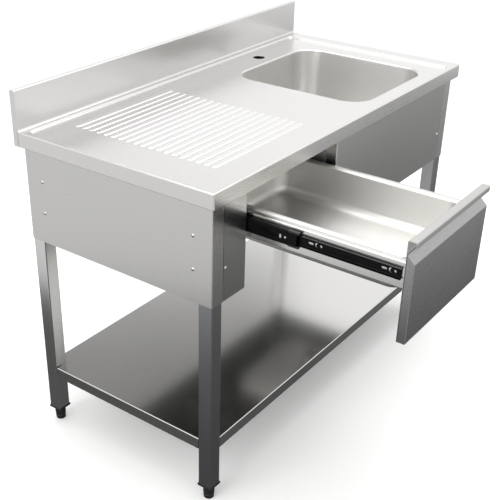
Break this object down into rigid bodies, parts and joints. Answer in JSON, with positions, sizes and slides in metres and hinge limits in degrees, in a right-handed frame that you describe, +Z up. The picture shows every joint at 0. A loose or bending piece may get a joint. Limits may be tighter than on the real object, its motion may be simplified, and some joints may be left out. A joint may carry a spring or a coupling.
{
  "type": "sink table with drawer",
  "caption": "Sheet steel sink table with a ribbed drainer, a deep bowl, an upstand, a pan drawer on telescopic slides, an undershelf and adjustable feet.",
  "frame": {"origin": "on the floor, under the middle of the whole object's box with the drawer drawn as stored", "axes": "+X along the worktop to the bowl's end, +Y from the drawer's side to the upstand, +Z up"},
  "size_m": [1.2, 0.99, 0.94],
  "materials": {
    "worktop_steel": "satin, finely brushed along its length",
    "bowl_steel": "satin, pressed and welded",
    "waste_steel": "polished",
    "leg_steel": "satin, brushed along the leg",
    "panel_steel": "satin, finely brushed",
    "inner_steel": "plain rolled sheet",
    "shelf_steel": "satin, finely brushed",
    "screw_steel": "plain",
    "drawer_steel": "satin, brushed across",
    "rail_steel": "satin",
    "pan_steel": "bright satin, deep drawn",
    "slide_zinc": "black zinc plated steel",
    "cage_plastic": "moulded",
    "foot_plastic": "moulded",
    "gasket_rubber": "moulded"
  },
  "bodies": {
    "table": {"worktop": "worktop_steel", "bowl": "bowl_steel", "waste_flange": "waste_steel", "waste_nut": "waste_steel", "waste_tail": "waste_steel", "waste_gasket": "gasket_rubber", "leg_front_left": "leg_steel", "leg_insert_front_left": "foot_plastic", "corner_bracket_front_left": "inner_steel", "leg_front_right": "leg_steel", "leg_insert_front_right": "foot_plastic", "corner_bracket_front_right": "inner_steel", "leg_rear_left": "leg_steel", "leg_insert_rear_left": "foot_plastic", "corner_bracket_rear_left": "inner_steel", "leg_rear_right": "leg_steel", "leg_insert_rear_right": "foot_plastic", "corner_bracket_rear_right": "inner_steel", "side_panel_left": "panel_steel", "side_panel_right": "panel_steel", "front_apron": "panel_steel", "rear_apron": "panel_steel", "drawer_hanger_left": "panel_steel", "drawer_hanger_right": "inner_steel", "deck_channel_front": "inner_steel", "deck_channel_rear": "inner_steel", "shelf_channel": "inner_steel", "undershelf": "shelf_steel", "panel_screw_front_left_lower": "screw_steel", "panel_screw_front_left_upper": "screw_steel", "panel_screw_front_right_lower": "screw_steel", "panel_screw_front_right_upper": "screw_steel", "panel_screw_rear_left_lower": "screw_steel", "panel_screw_rear_left_upper": "screw_steel", "panel_screw_rear_right_lower": "screw_steel", "panel_screw_rear_right_upper": "screw_steel", "stile_screw": "screw_steel", "apron_screw": "screw_steel", "slide_outer_left": "slide_zinc", "slide_outer_right": "slide_zinc"},
    "drawer": {"drawer_front": "drawer_steel", "drawer_liner": "drawer_steel", "drawer_rail_left": "rail_steel", "drawer_rail_right": "rail_steel", "drawer_rail_rear": "rail_steel", "slide_inner_left": "slide_zinc", "slide_inner_right": "slide_zinc"},
    "pan": {"drawer_pan": "pan_steel"},
    "slide_outer_cage_left_body": {"slide_outer_cage_left": "cage_plastic"},
    "slide_middle_left_body": {"slide_middle_left": "slide_zinc"},
    "slide_inner_cage_left_body": {"slide_inner_cage_left": "cage_plastic"},
    "slide_outer_cage_right_body": {"slide_outer_cage_right": "cage_plastic"},
    "slide_middle_right_body": {"slide_middle_right": "slide_zinc"},
    "slide_inner_cage_right_body": {"slide_inner_cage_right": "cage_plastic"},
    "foot_front_left_body": {"foot_front_left": "foot_plastic"},
    "foot_front_right_body": {"foot_front_right": "foot_plastic"},
    "foot_rear_left_body": {"foot_rear_left": "foot_plastic"},
    "foot_rear_right_body": {"foot_rear_right": "foot_plastic"},
    "basket": {"strainer_basket": "waste_steel"}
  },
  "joints": [
    {"name": "drawer_slide", "type": "slide", "parent": "table", "child": "drawer", "axis": [0, -1, 0], "range_m": [-0.396, 0.054]},
    {"name": "pan_lift", "type": "slide", "parent": "drawer", "child": "pan", "axis": [0, 0, 1], "range_m": [0, 0.05]},
    {"name": "slide_outer_cage_left_travel", "type": "slide", "parent": "table", "child": "slide_outer_cage_left_body", "axis": [0, -1, 0], "range_m": [-0.0995, 0.014]},
    {"name": "slide_middle_left_travel", "type": "slide", "parent": "table", "child": "slide_middle_left_body", "axis": [0, -1, 0], "range_m": [-0.1985, 0.0275]},
    {"name": "slide_inner_cage_left_travel", "type": "slide", "parent": "table", "child": "slide_inner_cage_left_body", "axis": [0, -1, 0], "range_m": [-0.2975, 0.041]},
    {"name": "slide_outer_cage_right_travel", "type": "slide", "parent": "table", "child": "slide_outer_cage_right_body", "axis": [0, -1, 0], "range_m": [-0.0995, 0.014]},
    {"name": "slide_middle_right_travel", "type": "slide", "parent": "table", "child": "slide_middle_right_body", "axis": [0, -1, 0], "range_m": [-0.1985, 0.0275]},
    {"name": "slide_inner_cage_right_travel", "type": "slide", "parent": "table", "child": "slide_inner_cage_right_body", "axis": [0, -1, 0], "range_m": [-0.2975, 0.041]},
    {"name": "foot_front_left_screw", "type": "slide", "parent": "table", "child": "foot_front_left_body", "axis": [0, 0, -1], "range_m": [0, 0.02]},
    {"name": "foot_front_right_screw", "type": "slide", "parent": "table", "child": "foot_front_right_body", "axis": [0, 0, -1], "range_m": [0, 0.02]},
    {"name": "foot_rear_left_screw", "type": "slide", "parent": "table", "child": "foot_rear_left_body", "axis": [0, 0, -1], "range_m": [0, 0.02]},
    {"name": "foot_rear_right_screw", "type": "slide", "parent": "table", "child": "foot_rear_right_body", "axis": [0, 0, -1], "range_m": [0, 0.02]},
    {"name": "basket_lift", "type": "slide", "parent": "table", "child": "basket", "axis": [0, 0, 1], "range_m": [0, 0.3]}
  ],
  "couplings": [
    {"joint": "slide_outer_cage_left_travel", "follows": "drawer_slide", "ratio": 0.25},
    {"joint": "slide_middle_left_travel", "follows": "drawer_slide", "ratio": 0.5},
    {"joint": "slide_inner_cage_left_travel", "follows": "drawer_slide", "ratio": 0.75},
    {"joint": "slide_outer_cage_right_travel", "follows": "drawer_slide", "ratio": 0.25},
    {"joint": "slide_middle_right_travel", "follows": "drawer_slide", "ratio": 0.5},
    {"joint": "slide_inner_cage_right_travel", "follows": "drawer_slide", "ratio": 0.75}
  ]
}
